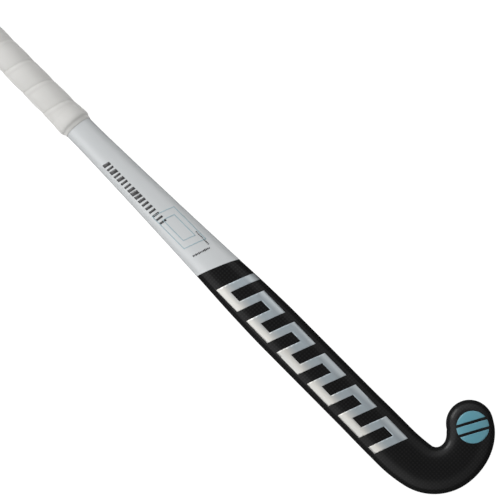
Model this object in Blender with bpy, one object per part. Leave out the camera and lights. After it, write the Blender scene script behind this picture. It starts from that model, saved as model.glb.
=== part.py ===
"""Field hockey stick: a moulded composite shell with a hooked head, its core, and a wrapped grip.

The stick lies on its flat playing face. +X runs from the butt to the head, +Y from the heel side
to the toe side, and +Z from the flat face to the rounded back. Each piece is laid out along the
stick's middle line, which is then bowed, and a parent empty lays the whole stick down.
Sizes are in metres. A place "from the base" is measured back from the lowest point of the hook.
"""

import math
from collections import namedtuple

import bmesh
import bpy
from mathutils import Matrix, Vector

# ---------------------------------------------------------------- driving dimensions

LENGTH = 0.927
GAP = 0.0003

# Bow of the middle line, seen from the side.
BOW_HEIGHT = 0.0225
BOW_FROM_BASE = 0.215
BOW_RADIUS = 1.20

# Hook, seen from the face: three arcs that follow each other, as (radius, turn).
HOOK_ARCS = (
    (0.1555, math.radians(10.8)),
    (0.0315, math.radians(67.7)),
    (0.0383, math.radians(70.1)),
)

# Widths across the face.
SHAFT_WIDTH = 0.0474
THROAT_WIDTH = 0.0482
HEEL_WIDTH = 0.0448
TOE_WIDTH = 0.0472
TIP_WIDTH = 0.0462
WAIST_WIDTH = 0.0282
LOWER_HANDLE_WIDTH = 0.0257
HANDLE_WIDTH = 0.0246

# Widths round the hook, each at its share of the hook's length.
HOOK_WIDTHS = (
    (0.05, THROAT_WIDTH),
    (0.65, HEEL_WIDTH),
    (0.93, TOE_WIDTH),
    (1.00, TIP_WIDTH),
)

# Where the shaft narrows to the waist, from the base, with the share of the narrowing done.
TAPER = (
    (0.235, 0.00),
    (0.275, 0.09),
    (0.335, 0.38),
    (0.415, 0.71),
    (0.456, 0.85),
    (0.518, 1.00),
)
THROAT_FROM_BASE = 0.095
SHAFT_FROM_BASE = 0.135

# Depths from the middle plane down to the flat face and up to the crown of the back.
FACE_DEPTH = 0.0080
HEAD_BACK = 0.0124
SHAFT_BACK = 0.0136
HANDLE_FACE = 0.0134
HANDLE_BACK = 0.0136

# Rounding of the face's edges, across and up, and how full the back is.
EDGE_ACROSS = 0.0062
EDGE_UP = 0.0052
HANDLE_EDGE_ACROSS = 0.0100
HANDLE_EDGE_UP = 0.0114
BACK_FULLNESS = 2.2

# Walls of the moulding and its core. The wall starts to thicken just before the head's core.
SHAFT_WALL = 0.0022
HEAD_WALL = 0.0034
WALL_LEAD = 0.0068
SLEEVE_WALL = 0.0010
CHAMBER_WALL = 0.0010
HEAD_CORE_FROM_BASE = 0.135
HANDLE_FOAM_LENGTH = 0.300

# Grip, from the shell outwards.
GRIP_FROM_BASE = 0.5295
NECK_LENGTH = 0.010
HANDLE_FLARE = 0.090
ADHESIVE = 0.0003
BACKING = 0.0004
COVER = 0.0008
WRAP_PITCH = 0.029
LEAST_TAPE_END = 0.002

# Finishing tape from the lower end of the grip down over the shell's neck.
TAPE = 0.0004
TAPE_ON_GRIP = 0.0100
TAPE_SWELL = 1.3

# Butt end.
CAP_FACE = 0.0030
CAP_SKIRT = 0.0090
CAP_EDGE = 0.0012
CAP_EDGE_BREAK = 0.3
PLUG_LENGTH = 0.0360
BADGE_SHARE = 0.60
BADGE_RECESS = 0.0011
BADGE_THICKNESS = 0.0006

# Facets, and the angle up to which they are shaded smooth.
SMOOTH_ANGLE = math.radians(35)
CORNER_STEPS = 3
BACK_STEPS = 6
TIP_STEPS = 8
STRAIGHT_STEP = 0.045
HOOK_STEP = 0.0075

# Rounds after which a size or a tilt found by trial has settled, and what counts as no length.
SETTLING_ROUNDS = 12
ROUNDING = 1e-6

# ---------------------------------------------------------------- sizes that follow from those

HOOK_LENGTH = sum(radius * turn for radius, turn in HOOK_ARCS)


def hook_reach():
    """How far the middle line runs on along +X inside the hook, to where it points across."""
    heading = 0.0
    reach = 0.0
    for radius, turn in HOOK_ARCS:
        end = min(heading + turn, math.pi / 2)
        reach += radius * (math.sin(end) - math.sin(heading))
        heading = end
    return reach


STRAIGHT = LENGTH - HEEL_WIDTH / 2 - hook_reach()
SPINE_LENGTH = STRAIGHT + HOOK_LENGTH
GRIP_BUILD = 3 * GAP + ADHESIVE + BACKING + COVER
SHELL_START = CAP_FACE + GAP
GRIP_START = CAP_FACE + CAP_SKIRT + GAP
GRIP_END = LENGTH - GRIP_FROM_BASE
CORE_START = SHELL_START + PLUG_LENGTH + GAP
CORE_END = LENGTH - HEAD_CORE_FROM_BASE
FOAM_END = CORE_START + HANDLE_FOAM_LENGTH
NECK_END = GRIP_END + NECK_LENGTH
NECK_MIDDLE = GRIP_END + NECK_LENGTH / 2

Section = namedtuple("Section", "half face back edge_across edge_up")


def eased(stops, at):
    """Value at a place, on a smooth curve through (place, value) stops that never overshoots."""
    if at <= stops[0][0]:
        return stops[0][1]
    if at >= stops[-1][0]:
        return stops[-1][1]
    rises = []
    for low, high in zip(stops, stops[1:]):
        rises.append((high[1] - low[1]) / (high[0] - low[0]))
    slopes = [0.0]
    for before, after in zip(rises, rises[1:]):
        turning = before * after <= 0
        slopes.append(0.0 if turning else 2 * before * after / (before + after))
    slopes.append(0.0)
    index = next(i for i in range(len(stops) - 1) if at <= stops[i + 1][0])
    low, high = stops[index], stops[index + 1]
    span = high[0] - low[0]
    u = (at - low[0]) / span
    left = low[1] * (1 + 2 * u) + slopes[index] * span * u
    right = high[1] * (3 - 2 * u) - slopes[index + 1] * span * (1 - u)
    return left * (1 - u) ** 2 + right * u**2


def width_stops():
    """Full widths along the middle line, from the butt to the tip of the toe."""
    stops = [(GRIP_END - HANDLE_FLARE, HANDLE_WIDTH), (GRIP_END, LOWER_HANDLE_WIDTH)]
    stops.append((NECK_END, WAIST_WIDTH))
    for from_base, done in reversed(TAPER):
        stops.append((LENGTH - from_base, WAIST_WIDTH + (SHAFT_WIDTH - WAIST_WIDTH) * (1 - done)))
    stops.append((LENGTH - SHAFT_FROM_BASE, SHAFT_WIDTH))
    stops.append((LENGTH - THROAT_FROM_BASE, THROAT_WIDTH))
    for share, width in HOOK_WIDTHS:
        stops.append((STRAIGHT + share * HOOK_LENGTH, width))
    return stops


WIDTHS = width_stops()
TAPER_START = LENGTH - TAPER[0][0]
TAPER_END = LENGTH - TAPER[-1][0]


def along_shaft(handle, shaft, at):
    """A section size that changes once, over the taper, from its handle to its shaft value."""
    return eased(((TAPER_END, handle), (TAPER_START, shaft)), at)


def section_at(at):
    """Outer section of the moulding at a place along the middle line."""
    shaft_back = along_shaft(HANDLE_BACK, SHAFT_BACK, at)
    head_blend = eased(((LENGTH - SHAFT_FROM_BASE, 0.0), (STRAIGHT + HOOK_LENGTH / 2, 1.0)), at)
    return Section(
        half=eased(WIDTHS, at) / 2,
        face=along_shaft(HANDLE_FACE, FACE_DEPTH, at),
        back=shaft_back + (HEAD_BACK - SHAFT_BACK) * head_blend,
        edge_across=along_shaft(HANDLE_EDGE_ACROSS, EDGE_ACROSS, at),
        edge_up=along_shaft(HANDLE_EDGE_UP, EDGE_UP, at),
    )


def wall_at(at):
    """Wall of the moulding, thicker in the head."""
    return eased(((CORE_END - WALL_LEAD, SHAFT_WALL), (STRAIGHT, HEAD_WALL)), at)


def inset(section, depth):
    """The same section with its surface moved in, or out for a negative depth."""
    return Section(
        half=section.half - depth,
        face=section.face - depth,
        back=section.back - depth,
        edge_across=max(section.edge_across - depth, GAP),
        edge_up=max(section.edge_up - depth, GAP),
    )


def scaled(section, share):
    return Section(*(size * share for size in section))


def half_outline(section, inner=0.0):
    """One side of a section as (across, up), from the face to the crown, both at `inner` across."""
    half, face, back, edge_across, edge_up = section
    points = [(inner, -face)]
    for step in range(CORNER_STEPS + 1):
        angle = math.pi / 2 * step / CORNER_STEPS
        across = half - edge_across * (1 - math.sin(angle))
        up = edge_up * (1 - math.cos(angle)) - face
        points.append((across, up))
    power = 2 / BACK_FULLNESS
    last = math.acos((inner / half) ** (1 / power))
    for step in range(BACK_STEPS + 1):
        angle = last * step / BACK_STEPS
        across = half * math.cos(angle) ** power if step < BACK_STEPS else inner
        points.append((across, back * math.sin(angle) ** power))
    return points


def outline(section):
    """The whole section: face centre, toe side, crown, heel side."""
    toe_side = half_outline(section)
    heel_side = [(-across, up) for across, up in toe_side[-2:0:-1]]
    return toe_side + heel_side


RING = len(outline(section_at(0.0)))


# ---------------------------------------------------------------- the middle line


def in_plan(at):
    """Place and heading of the middle line in the plane of the face."""
    if at <= STRAIGHT:
        return at, 0.0, 0.0
    x, y, heading = STRAIGHT, 0.0, 0.0
    left = at - STRAIGHT
    for radius, turn in HOOK_ARCS:
        swung = min(left / radius, turn)
        x += radius * (math.sin(heading + swung) - math.sin(heading))
        y += radius * (math.cos(heading) - math.cos(heading + swung))
        heading += swung
        left -= swung * radius
    return x, y, heading


def bow_slopes():
    """Slopes of the handle's run and the head's run that give the bow its height."""
    before, after = LENGTH - BOW_FROM_BASE, BOW_FROM_BASE
    corner = BOW_HEIGHT
    for _ in range(SETTLING_ROUNDS):
        handle, head = math.atan(corner / before), math.atan(corner / after)
        corner = BOW_HEIGHT + BOW_RADIUS * (1 / math.cos((handle + head) / 2) - 1)
    return handle, head


HANDLE_SLOPE, HEAD_SLOPE = bow_slopes()
BOW_START = LENGTH - BOW_FROM_BASE - BOW_RADIUS * (HANDLE_SLOPE + HEAD_SLOPE) / 2


def bowed(x, y, z):
    """A point of the straight layout, carried onto the bowed middle line."""
    on_arc = min(max(x - BOW_START, 0.0), BOW_RADIUS * (HANDLE_SLOPE + HEAD_SLOPE))
    slope = HANDLE_SLOPE - on_arc / BOW_RADIUS
    before = min(x, BOW_START)
    after = max(x - BOW_START - on_arc, 0.0)
    along = before * math.cos(HANDLE_SLOPE) + after * math.cos(slope)
    along += BOW_RADIUS * (math.sin(HANDLE_SLOPE) - math.sin(slope))
    rise = before * math.sin(HANDLE_SLOPE) + after * math.sin(slope)
    rise += BOW_RADIUS * (math.cos(slope) - math.cos(HANDLE_SLOPE))
    return Vector((along - z * math.sin(slope), y, rise + z * math.cos(slope)))


def ring_at(at, points, turn=0.0):
    """Section points set across the middle line; `turn` swings them about the upright axis."""
    x, y, heading = in_plan(at)
    heading += turn
    return [
        bowed(x - across * math.sin(heading), y + across * math.cos(heading), up)
        for across, up in points
    ]


def shell_ring(at, depth=0.0):
    return ring_at(at, outline(inset(section_at(at), depth)))


def steps_between(start, end, step):
    count = max(1, math.ceil((end - start) / step - ROUNDING))
    return [start + (end - start) * i / count for i in range(count + 1)]


def stations(start, end):
    """Places for rings: wide apart on plain runs, closer over the neck, the bow and the hook."""
    marks = [start, CORE_START, FOAM_END, GRIP_END, NECK_MIDDLE, NECK_END]
    marks += [TAPER_END, TAPER_START, CORE_END, STRAIGHT, end]
    marks = sorted(mark for mark in marks if start <= mark <= end)
    places = [start]
    for low, high in zip(marks, marks[1:]):
        step = HOOK_STEP if low >= STRAIGHT else STRAIGHT_STEP
        places += steps_between(low, high, step)[1:] if high > low else []
    return places


# ---------------------------------------------------------------- making bodies


def join_rings(mesh, rings, loop=False):
    """Faces between neighbouring rings of vertices; `loop` joins the last ring to the first."""
    pairs = list(zip(rings, rings[1:])) + ([(rings[-1], rings[0])] if loop else [])
    for near, far in pairs:
        count = len(near)
        for i in range(count):
            after = (i + 1) % count
            mesh.faces.new((near[i], near[after], far[after], far[i]))


def close_tip(mesh, ring, points, at):
    """Round end: one side of the section swung half a turn about the middle line's end."""
    top = len(points) // 2
    side = points[1:top]
    meridians = [ring[1:top]]
    for step in range(1, TIP_STEPS):
        swung = ring_at(at, side, -math.pi * step / TIP_STEPS)
        meridians.append([mesh.verts.new(point) for point in swung])
    meridians.append(ring[:top:-1])
    for near, far in zip(meridians, meridians[1:]):
        mesh.faces.new((ring[0], near[0], far[0]))
        mesh.faces.new((ring[top], near[-1], far[-1]))
        for i in range(len(near) - 1):
            mesh.faces.new((near[i], near[i + 1], far[i + 1], far[i]))


def sock(mesh, places, depth_at):
    """A surface along the given places, closed round the toe; it returns its open first ring."""
    rings = []
    for at in places:
        rings.append([mesh.verts.new(point) for point in shell_ring(at, depth_at(at))])
    join_rings(mesh, rings)
    end = places[-1]
    close_tip(mesh, rings[-1], outline(inset(section_at(end), depth_at(end))), end)
    return rings[0]


def skin(rings, loop=False):
    """A body through rings of points: a closed sleeve with `loop`, or else with flat ends."""
    mesh = bmesh.new()
    made = [[mesh.verts.new(point) for point in ring] for ring in rings]
    join_rings(mesh, made, loop)
    if not loop:
        mesh.faces.new(made[0])
        mesh.faces.new(made[-1])
    return mesh


def material(name, colour, roughness, metallic=0.0):
    made = bpy.data.materials.new(name)
    made.use_nodes = True
    shader = made.node_tree.nodes["Principled BSDF"]
    shader.inputs["Base Color"].default_value = (*colour, 1.0)
    shader.inputs["Roughness"].default_value = roughness
    shader.inputs["Metallic"].default_value = metallic
    made.diffuse_color = (*colour, 1.0)
    return made


def piece(name, mesh, finish, seat):
    """Turns a body into an object whose origin is on the middle line at `seat`."""
    origin = bowed(*in_plan(seat)[:2], 0.0)
    bmesh.ops.recalc_face_normals(mesh, faces=mesh.faces)
    bmesh.ops.translate(mesh, verts=mesh.verts, vec=-origin)
    data = bpy.data.meshes.new(name)
    mesh.to_mesh(data)
    mesh.free()
    data.materials.append(finish)
    data.shade_smooth()
    data.set_sharp_from_angle(angle=SMOOTH_ANGLE)
    made = bpy.data.objects.new(name, data)
    made.location = origin
    bpy.context.scene.collection.objects.link(made)
    return made


# ---------------------------------------------------------------- the moulding and its core


def carbon_shell():
    """Hollow outer moulding from the butt to the toe, open at the butt."""
    places = stations(SHELL_START, SPINE_LENGTH)
    mesh = bmesh.new()
    outer = sock(mesh, places, lambda at: 0.0)
    inner = sock(mesh, places, wall_at)
    join_rings(mesh, [outer, inner])
    return mesh


def in_shell(at):
    """Depth of a piece that fills the shell."""
    return wall_at(at) + GAP


def in_sleeve(at):
    """Depth of a piece that fills the head's sleeve."""
    return in_shell(at) + SLEEVE_WALL + GAP


def aramid_head_sleeve():
    """Sock of impact fibre that lines the shell round the head."""
    places = stations(CORE_END + GAP, SPINE_LENGTH)
    mesh = bmesh.new()
    outer = sock(mesh, places, in_shell)
    inner = sock(mesh, places, lambda at: in_shell(at) + SLEEVE_WALL)
    join_rings(mesh, [outer, inner])
    return mesh


def head_foam_core():
    places = stations(CORE_END + GAP, SPINE_LENGTH)
    mesh = bmesh.new()
    mouth = sock(mesh, places, in_sleeve)
    mesh.faces.new(mouth)
    return mesh


def chamber_ring(at, side, depth):
    """One of two chambers side by side in the shell, `depth` inside its own outer surface."""
    section = inset(section_at(at), in_shell(at) + depth)
    points = half_outline(section, inner=GAP / 2 + depth)
    return ring_at(at, [(side * across, up) for across, up in points])


def chamber_tube(side):
    """Bladder-moulded tube; the walls where the two tubes meet make the shaft's centre web."""
    places = stations(CORE_START, CORE_END)
    outer = [chamber_ring(at, side, 0.0) for at in places]
    inner = [chamber_ring(at, side, CHAMBER_WALL) for at in places]
    return skin(outer + inner[::-1], loop=True)


def chamber_foam(side):
    """Foam that fills the handle end of a chamber."""
    places = stations(CORE_START, FOAM_END)
    return skin([chamber_ring(at, side, CHAMBER_WALL + GAP) for at in places])


# ---------------------------------------------------------------- the butt end


def butt_plug():
    return skin([shell_ring(at, in_shell(at)) for at in (SHELL_START, CORE_START - GAP)])


def cap_ring(at, share=1.0, depth=-GRIP_BUILD):
    section = scaled(inset(section_at(at), depth), share)
    return ring_at(at, outline(section))


def butt_cap():
    """Cap with a skirt round the shell, level with the grip, and a shallow recess in its end."""
    edge_share = 1 - CAP_EDGE / (HANDLE_WIDTH / 2 + GRIP_BUILD)
    skirt_end = CAP_FACE + CAP_SKIRT
    return skin(
        [
            cap_ring(BADGE_RECESS, BADGE_SHARE),
            cap_ring(0.0, BADGE_SHARE),
            cap_ring(0.0, edge_share),
            cap_ring(CAP_EDGE * CAP_EDGE_BREAK, 1 - (1 - edge_share) * CAP_EDGE_BREAK),
            cap_ring(CAP_EDGE),
            cap_ring(skirt_end),
            cap_ring(skirt_end, depth=-GAP),
            cap_ring(CAP_FACE, depth=-GAP),
        ]
    )


def cap_badge():
    """Blank oval insert in the cap's recess."""
    share = BADGE_SHARE - GAP / (HANDLE_WIDTH / 2)
    back = BADGE_RECESS - GAP
    return skin([cap_ring(at, share) for at in (back, back - BADGE_THICKNESS)])


# ---------------------------------------------------------------- the grip


def grip_adhesive():
    """Thin double-sided tape that holds the grip to the shell."""
    places = stations(GRIP_START, GRIP_END)
    outer = [shell_ring(at, -GAP - ADHESIVE) for at in places]
    inner = [shell_ring(at, -GAP) for at in places]
    return skin(outer + inner[::-1], loop=True)


def wrapped(lift, thickness):
    """A strip wound round the handle, `lift` above the shell, cut square at both ends."""
    per_turn = WRAP_PITCH / RING
    strip = WRAP_PITCH - GAP
    first = math.ceil((LEAST_TAPE_END - strip) / per_turn)
    last = math.floor((GRIP_END - GRIP_START - LEAST_TAPE_END) / per_turn)
    rings = []
    for step in range(first, last + 1):
        edge = GRIP_START + step * per_turn
        low, high = max(edge, GRIP_START), min(edge + strip, GRIP_END)
        ring = []
        for at, depth in ((low, lift), (high, lift), (high, lift + thickness), (low, lift + thickness)):
            point = outline(inset(section_at(at), -depth))[step % RING]
            ring += ring_at(at, [point])
        rings.append(ring)
    return skin(rings)


def grip_finishing_tape():
    """Elastic tape over the grip's lower end, stepping down onto the shaft."""
    on_grip = GRIP_BUILD + GAP
    grip_edge = GRIP_END - TAPE_ON_GRIP
    profile = (
        (grip_edge, on_grip + TAPE),
        (grip_edge + TAPE_ON_GRIP / 2, on_grip + TAPE_SWELL * TAPE),
        (GRIP_END, on_grip + TAPE),
        (NECK_MIDDLE, on_grip / 2 + TAPE),
        (NECK_END, GAP + TAPE),
        (NECK_END, GAP),
        (NECK_MIDDLE, GAP),
        (GRIP_END + GAP, on_grip),
        (grip_edge, on_grip),
    )
    return skin([shell_ring(at, -lift) for at, lift in profile], loop=True)


# ---------------------------------------------------------------- putting it together


def laid_down(pieces):
    """Parents the pieces to an empty that rests the stick on its head and its butt."""
    points = []
    for made in pieces:
        points += [made.location + vertex.co for vertex in made.data.vertices]
    middle = LENGTH / 2
    tilt = 0.0
    for _ in range(SETTLING_ROUNDS):
        turned = Matrix.Rotation(tilt, 3, "Y")
        moved = [turned @ point for point in points]
        butt = min((point for point in moved if point.x < middle), key=lambda point: point.z)
        head = min((point for point in moved if point.x >= middle), key=lambda point: point.z)
        tilt += math.atan2(head.z - butt.z, head.x - butt.x)
    turned = Matrix.Rotation(tilt, 3, "Y")
    moved = [turned @ point for point in points]
    low = Vector(min(point[axis] for point in moved) for axis in range(3))
    high = Vector(max(point[axis] for point in moved) for axis in range(3))
    frame = bpy.data.objects.new("stick_frame", None)
    frame.rotation_euler = (0.0, tilt, 0.0)
    frame.location = (-(low.x + high.x) / 2, -(low.y + high.y) / 2, -low.z)
    bpy.context.scene.collection.objects.link(frame)
    for made in pieces:
        made.parent = frame


def build():
    for old in list(bpy.data.objects):
        bpy.data.objects.remove(old, do_unlink=True)

    carbon = material("carbon_laminate", (0.012, 0.012, 0.013), 0.25)
    aramid = material("aramid_weave", (0.55, 0.42, 0.12), 0.60)
    core_foam = material("core_foam", (0.75, 0.70, 0.55), 0.90)
    glass_tube = material("glass_fibre_tube", (0.50, 0.55, 0.48), 0.45)
    cap_rubber = material("cap_rubber", (0.55, 0.55, 0.54), 0.60)
    plug_plastic = material("plug_plastic", (0.05, 0.05, 0.05), 0.50)
    badge_metal = material("badge_aluminium", (0.70, 0.71, 0.72), 0.35, 1.0)
    adhesive_film = material("adhesive_film", (0.80, 0.74, 0.55), 0.40)
    felt = material("grip_felt", (0.60, 0.60, 0.58), 0.95)
    grip_skin = material("grip_polyurethane", (0.64, 0.63, 0.60), 0.65)
    tape_skin = material("finishing_tape", (0.66, 0.65, 0.62), 0.55)

    wound = wrapped(2 * GAP + ADHESIVE, BACKING)
    cover = wrapped(3 * GAP + ADHESIVE + BACKING, COVER)
    pieces = [
        piece("carbon_shell", carbon_shell(), carbon, SHELL_START),
        piece("aramid_head_sleeve", aramid_head_sleeve(), aramid, CORE_END),
        piece("head_foam_core", head_foam_core(), core_foam, CORE_END),
        piece("heel_chamber_tube", chamber_tube(-1), glass_tube, CORE_START),
        piece("toe_chamber_tube", chamber_tube(1), glass_tube, CORE_START),
        piece("heel_chamber_foam", chamber_foam(-1), core_foam, CORE_START),
        piece("toe_chamber_foam", chamber_foam(1), core_foam, CORE_START),
        piece("butt_plug", butt_plug(), plug_plastic, SHELL_START),
        piece("butt_cap", butt_cap(), cap_rubber, 0.0),
        piece("cap_badge", cap_badge(), badge_metal, 0.0),
        piece("grip_adhesive", grip_adhesive(), adhesive_film, GRIP_START),
        piece("grip_backing", wound, felt, GRIP_START),
        piece("grip_cover", cover, grip_skin, GRIP_START),
        piece("grip_finishing_tape", grip_finishing_tape(), tape_skin, GRIP_END),
    ]
    laid_down(pieces)


build()
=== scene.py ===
"""Finished field hockey stick: lacquered carbon head end, white shaft, wound grip, capped butt.

Sizes are in metres. A place "from the base" is measured back from the lowest point of the hook,
and "across" is measured from the shaft's middle line towards the toe side.
"""

import math
from collections import namedtuple

import bmesh
import bpy
from mathutils import Matrix, Vector


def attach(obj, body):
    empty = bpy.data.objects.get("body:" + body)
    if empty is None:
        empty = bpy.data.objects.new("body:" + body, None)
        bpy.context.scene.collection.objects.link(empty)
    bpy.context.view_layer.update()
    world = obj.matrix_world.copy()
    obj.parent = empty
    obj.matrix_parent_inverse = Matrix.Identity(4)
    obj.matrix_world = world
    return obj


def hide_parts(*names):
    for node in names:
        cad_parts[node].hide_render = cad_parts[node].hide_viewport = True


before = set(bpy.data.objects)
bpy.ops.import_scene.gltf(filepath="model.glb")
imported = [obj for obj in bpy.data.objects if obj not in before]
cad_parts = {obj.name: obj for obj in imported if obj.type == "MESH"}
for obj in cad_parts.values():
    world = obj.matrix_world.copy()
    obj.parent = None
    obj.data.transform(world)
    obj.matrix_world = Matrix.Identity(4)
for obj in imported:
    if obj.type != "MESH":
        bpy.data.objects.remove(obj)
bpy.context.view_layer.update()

# ---- sizes of the stick

LENGTH = 0.927
GAP = 0.0003
BOW_HEIGHT = 0.0225
BOW_FROM_BASE = 0.215
BOW_RADIUS = 1.20
HOOK_ARCS = (
    (0.1555, math.radians(10.8)),
    (0.0315, math.radians(67.7)),
    (0.0383, math.radians(70.1)),
)
SHAFT_WIDTH = 0.0474
THROAT_WIDTH = 0.0482
HEEL_WIDTH = 0.0448
TOE_WIDTH = 0.0472
TIP_WIDTH = 0.0462
WAIST_WIDTH = 0.0282
LOWER_HANDLE_WIDTH = 0.0257
HANDLE_WIDTH = 0.0246
HOOK_WIDTHS = ((0.05, THROAT_WIDTH), (0.65, HEEL_WIDTH), (0.93, TOE_WIDTH), (1.00, TIP_WIDTH))
TAPER = ((0.235, 0.00), (0.275, 0.09), (0.335, 0.38), (0.415, 0.71), (0.456, 0.85), (0.518, 1.00))
THROAT_FROM_BASE = 0.095
SHAFT_FROM_BASE = 0.135
FACE_DEPTH = 0.0080
HEAD_BACK = 0.0124
SHAFT_BACK = 0.0136
HANDLE_FACE = 0.0134
HANDLE_BACK = 0.0136
EDGE_ACROSS = 0.0062
EDGE_UP = 0.0052
HANDLE_EDGE_ACROSS = 0.0100
HANDLE_EDGE_UP = 0.0114
BACK_FULLNESS = 2.2
SHAFT_WALL = 0.0022
HEAD_WALL = 0.0034
WALL_LEAD = 0.0068
HEAD_CORE_FROM_BASE = 0.135
GRIP_FROM_BASE = 0.5295
NECK_LENGTH = 0.010
HANDLE_FLARE = 0.090
ADHESIVE = 0.0003
BACKING = 0.0004
COVER = 0.0008
WRAP_PITCH = 0.029
TAPE = 0.0004
TAPE_ON_GRIP = 0.0100
CAP_FACE = 0.0030
CAP_SKIRT = 0.0090
CAP_EDGE = 0.0012
BADGE_SHARE = 0.60
BADGE_RECESS = 0.0011
BADGE_THICKNESS = 0.0006

# Finish.
LACQUER = 0.00010
PRINT_LIFT = 0.00016
PRINT_THICKNESS = 0.00030
LACQUER_END = 0.3222
LACQUER_SLANT = math.radians(23.0)

# How the stick lies: where the butt's middle is, and how far it is turned head down.
LAID_AT = Vector((-0.46233055, -0.03323248, 0.01576134))
LAID_TILT = 0.0095387837
BASE_X = 0.46273
AXIS_Y = LAID_AT.y

# Facets: round a section, and from ring to ring along the shell, its inside and the print bed.
CORNER_STEPS = 8
BACK_STEPS = 24
TIP_STEPS = 36
SHELL_STEPS = (0.0040, 0.0016)
INSIDE_STEPS = (0.0200, 0.0050)
BED_STEPS = (0.0040, 0.0020)
COAT_RINGS = 90
CORE_STEP = 0.0100
TAPE_STEP = 0.0006
NET_STEP = 0.0016

# Rounds after which the bow's slopes have settled, and what counts as no length.
SETTLING_ROUNDS = 12
ROUNDING = 1e-6

HOOK_LENGTH = sum(radius * turn for radius, turn in HOOK_ARCS)


def hook_reach():
    """How far the middle line runs on along the shaft inside the hook."""
    heading = 0.0
    reach = 0.0
    for radius, turn in HOOK_ARCS:
        end = min(heading + turn, math.pi / 2)
        reach += radius * (math.sin(end) - math.sin(heading))
        heading = end
    return reach


STRAIGHT = LENGTH - HEEL_WIDTH / 2 - hook_reach()
SPINE_LENGTH = STRAIGHT + HOOK_LENGTH
GRIP_BUILD = 3 * GAP + ADHESIVE + BACKING + COVER
SHELL_START = CAP_FACE + GAP
GRIP_START = CAP_FACE + CAP_SKIRT + GAP
GRIP_END = LENGTH - GRIP_FROM_BASE
NECK_END = GRIP_END + NECK_LENGTH
CORE_END = LENGTH - HEAD_CORE_FROM_BASE
TAPER_START = LENGTH - TAPER[0][0]
TAPER_END = LENGTH - TAPER[-1][0]

Section = namedtuple("Section", "half face back edge_across edge_up")

# ---- the stick's own surface


def eased(stops, at):
    """Value at a place, on a smooth curve through (place, value) stops that never overshoots."""
    if at <= stops[0][0]:
        return stops[0][1]
    if at >= stops[-1][0]:
        return stops[-1][1]
    rises = []
    for low, high in zip(stops, stops[1:]):
        rises.append((high[1] - low[1]) / (high[0] - low[0]))
    slopes = [0.0]
    for before, after in zip(rises, rises[1:]):
        turning = before * after <= 0
        slopes.append(0.0 if turning else 2 * before * after / (before + after))
    slopes.append(0.0)
    index = next(i for i in range(len(stops) - 1) if at <= stops[i + 1][0])
    low, high = stops[index], stops[index + 1]
    span = high[0] - low[0]
    u = (at - low[0]) / span
    left = low[1] * (1 + 2 * u) + slopes[index] * span * u
    right = high[1] * (3 - 2 * u) - slopes[index + 1] * span * (1 - u)
    return left * (1 - u) ** 2 + right * u**2


def width_stops():
    """Full widths along the middle line, from the butt to the tip of the toe."""
    stops = [(GRIP_END - HANDLE_FLARE, HANDLE_WIDTH), (GRIP_END, LOWER_HANDLE_WIDTH)]
    stops.append((NECK_END, WAIST_WIDTH))
    for from_base, done in reversed(TAPER):
        stops.append((LENGTH - from_base, WAIST_WIDTH + (SHAFT_WIDTH - WAIST_WIDTH) * (1 - done)))
    stops.append((LENGTH - SHAFT_FROM_BASE, SHAFT_WIDTH))
    stops.append((LENGTH - THROAT_FROM_BASE, THROAT_WIDTH))
    for share, width in HOOK_WIDTHS:
        stops.append((STRAIGHT + share * HOOK_LENGTH, width))
    return stops


WIDTHS = width_stops()


def along_shaft(handle, shaft, at):
    return eased(((TAPER_END, handle), (TAPER_START, shaft)), at)


def section_at(at):
    """Outer section of the moulding at a place along the middle line."""
    shaft_back = along_shaft(HANDLE_BACK, SHAFT_BACK, at)
    head_blend = eased(((LENGTH - SHAFT_FROM_BASE, 0.0), (STRAIGHT + HOOK_LENGTH / 2, 1.0)), at)
    return Section(
        half=eased(WIDTHS, at) / 2,
        face=along_shaft(HANDLE_FACE, FACE_DEPTH, at),
        back=shaft_back + (HEAD_BACK - SHAFT_BACK) * head_blend,
        edge_across=along_shaft(HANDLE_EDGE_ACROSS, EDGE_ACROSS, at),
        edge_up=along_shaft(HANDLE_EDGE_UP, EDGE_UP, at),
    )


def wall_at(at):
    """Wall of the moulding, thicker in the head."""
    return eased(((CORE_END - WALL_LEAD, SHAFT_WALL), (STRAIGHT, HEAD_WALL)), at)


def inset(section, depth):
    return Section(
        half=section.half - depth,
        face=section.face - depth,
        back=section.back - depth,
        edge_across=max(section.edge_across - depth, GAP),
        edge_up=max(section.edge_up - depth, GAP),
    )


def scaled(section, share):
    return Section(*(size * share for size in section))


def outline(section):
    """The section as (across, up): face centre, toe side, crown, heel side."""
    half, face, back, edge_across, edge_up = section
    side = [(0.0, -face)]
    for step in range(CORNER_STEPS + 1):
        angle = math.pi / 2 * step / CORNER_STEPS
        across = half - edge_across * (1 - math.sin(angle))
        side.append((across, edge_up * (1 - math.cos(angle)) - face))
    power = 2 / BACK_FULLNESS
    for step in range(BACK_STEPS + 1):
        angle = math.pi / 2 * step / BACK_STEPS
        across = half * math.cos(angle) ** power if step < BACK_STEPS else 0.0
        side.append((across, back * math.sin(angle) ** power))
    return side + [(-across, up) for across, up in side[-2:0:-1]]


def in_plan(at):
    """Place and heading of the middle line in the plane of the face."""
    if at <= STRAIGHT:
        return at, 0.0, 0.0
    x, y, heading = STRAIGHT, 0.0, 0.0
    left = at - STRAIGHT
    for radius, turn in HOOK_ARCS:
        swung = min(left / radius, turn)
        x += radius * (math.sin(heading + swung) - math.sin(heading))
        y += radius * (math.cos(heading) - math.cos(heading + swung))
        heading += swung
        left -= swung * radius
    return x, y, heading


def bow_slopes():
    """Slopes of the handle's run and the head's run that give the bow its height."""
    before, after = LENGTH - BOW_FROM_BASE, BOW_FROM_BASE
    corner = BOW_HEIGHT
    for _ in range(SETTLING_ROUNDS):
        handle, head = math.atan(corner / before), math.atan(corner / after)
        corner = BOW_HEIGHT + BOW_RADIUS * (1 / math.cos((handle + head) / 2) - 1)
    return handle, head


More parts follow.
